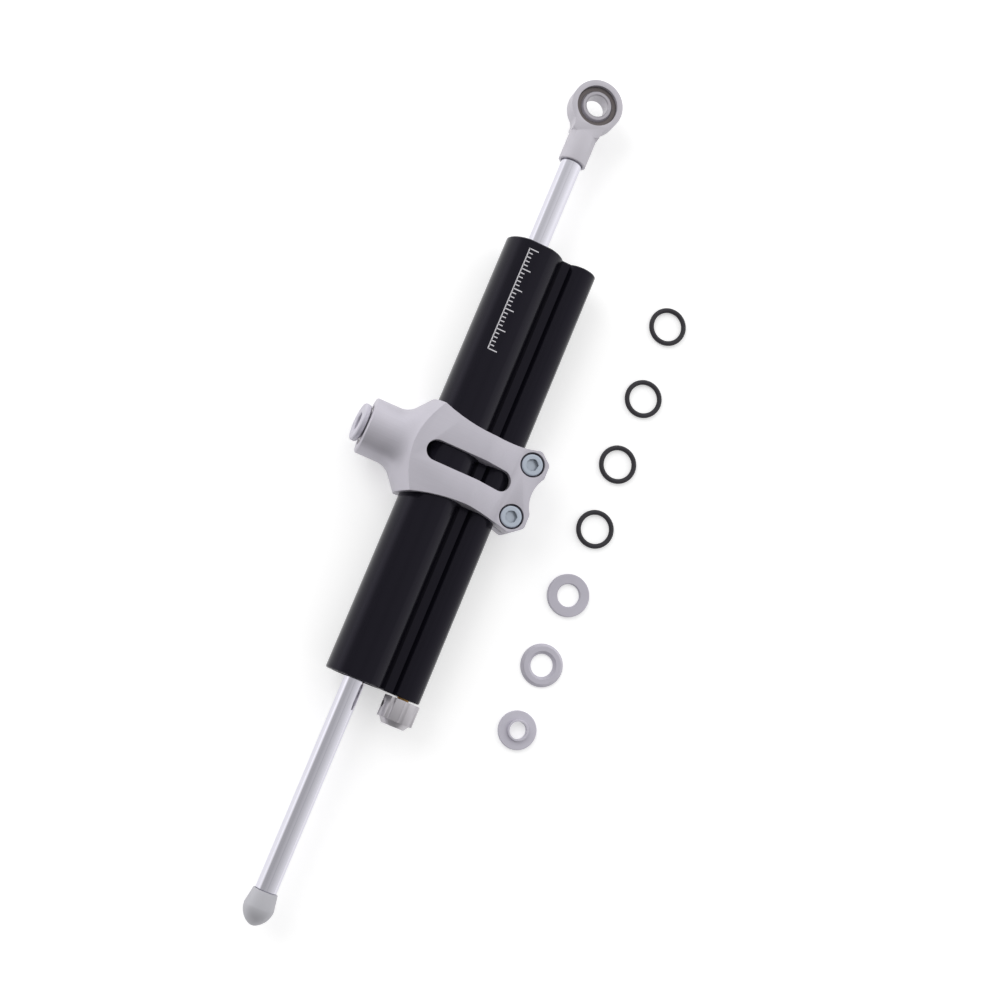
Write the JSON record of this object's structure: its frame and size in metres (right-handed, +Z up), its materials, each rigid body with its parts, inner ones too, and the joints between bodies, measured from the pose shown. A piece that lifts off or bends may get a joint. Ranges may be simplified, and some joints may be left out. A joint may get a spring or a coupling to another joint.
{
  "type": "motorcycle steering damper",
  "caption": "Linear steering damper with a through rod, a rod-end eye, a clicker knob and a split slotted clamp with a pivot bearing, with loose rings, washers and a collar.",
  "frame": {"origin": "centre of the bore of the ball in the rod's eye", "axes": "+X along the rod from the damper outwards past the eye, +Y from the rod towards the clamp's boss, +Z up from the face that the clamp rests on"},
  "size_m": [0.4109, 0.134, 0.0324],
  "materials": {
    "black_anodised": "black anodised aluminium, satin",
    "head_aluminium": "turned",
    "bush_bronze": "sintered bronze",
    "spring_steel": "oiled",
    "seal_rubber": "moulded",
    "ring_rubber": "moulded, matte",
    "foam": "closed-cell foam",
    "brass": "turned",
    "clamp_aluminium": "satin anodised silver",
    "zinc_screw": "bluish zinc plate",
    "bearing_race": "dark oiled steel",
    "bearing_ball": "hardened, turned faces",
    "collar_steel": "turned, grey",
    "band_plastic": "filled fluoropolymer",
    "rod_chrome": "hard chrome, polished",
    "eye_aluminium": "satin silver",
    "cap_aluminium": "matte grey",
    "knob_aluminium": "satin turned"
  },
  "bodies": {
    "damper_body": {"damper_body": "black_anodised", "upper_seal_head": "head_aluminium", "upper_rod_bush": "bush_bronze", "upper_rod_seal": "seal_rubber", "upper_rod_wiper": "seal_rubber", "upper_head_o_ring": "seal_rubber", "upper_head_circlip": "spring_steel", "lower_seal_head": "head_aluminium", "lower_rod_bush": "bush_bronze", "lower_rod_seal": "seal_rubber", "lower_rod_wiper": "seal_rubber", "lower_head_o_ring": "seal_rubber", "lower_head_circlip": "spring_steel", "adjuster_cartridge": "brass", "cartridge_o_ring": "seal_rubber", "spindle_o_ring": "seal_rubber", "needle_guide": "brass", "valve_seat": "brass", "compensator_foam": "foam", "bypass_plug": "spring_steel", "plug_o_ring": "seal_rubber", "spare_o_ring_1": "ring_rubber", "spare_o_ring_2": "ring_rubber", "spare_o_ring_3": "ring_rubber", "spare_o_ring_4": "ring_rubber", "spacer_washer": "collar_steel", "bevelled_washer": "collar_steel", "stepped_collar": "collar_steel"},
    "clamp": {"clamp": "clamp_aluminium", "clamp_screws": "zinc_screw", "boss_race": "bearing_race"},
    "boss_ball": {"boss_ball": "bearing_ball", "boss_collar": "collar_steel"},
    "piston_band": {"piston_band": "band_plastic"},
    "rod": {"piston_rod": "rod_chrome", "piston": "head_aluminium", "piston_energiser": "seal_rubber", "upper_piston_clip": "spring_steel", "lower_piston_clip": "spring_steel", "eye_housing": "eye_aluminium", "eye_race": "bearing_race", "end_cap": "cap_aluminium"},
    "eye_ball": {"eye_ball": "bearing_ball"},
    "knob": {"adjuster_knob": "knob_aluminium", "knob_grub_screw": "spring_steel", "detent_ball": "spring_steel", "detent_spring": "spring_steel", "adjuster_spindle": "brass"},
    "needle": {"adjuster_needle": "spring_steel"}
  },
  "joints": [
    {"name": "rod_slide", "type": "slide", "parent": "damper_body", "child": "piston_band", "axis": [1, 0, 0], "range_m": [-0.0336, 0.0864]},
    {"name": "rod_turn", "type": "hinge", "parent": "piston_band", "child": "rod", "pos_m": [-0.18, 0, 0], "axis": [1, 0, 0], "continuous": true},
    {"name": "rod_end_ball_tilt", "type": "hinge", "parent": "rod", "child": "eye_ball", "pos_m": [0, 0, 0], "axis": [0, 1, 0], "range_deg": [-12, 12]},
    {"name": "clamp_slide", "type": "slide", "parent": "damper_body", "child": "clamp", "axis": [1, 0, 0], "range_m": [-0.08, 0.08]},
    {"name": "boss_ball_tilt", "type": "hinge", "parent": "clamp", "child": "boss_ball", "pos_m": [-0.1805, 0.03645, 0], "axis": [1, 0, 0], "range_deg": [-13, 0]},
    {"name": "adjuster_knob_turn", "type": "hinge", "parent": "damper_body", "child": "knob", "pos_m": [-0.2865, -0.0233, 0], "axis": [1, 0, 0], "range_deg": [-540, 540]},
    {"name": "needle_slide", "type": "slide", "parent": "damper_body", "child": "needle", "axis": [1, 0, 0], "range_m": [-0.0016, 0.0016]}
  ],
  "couplings": [
    {"joint": "needle_slide", "follows": "adjuster_knob_turn", "m_per_rad": 0.00015915}
  ]
}
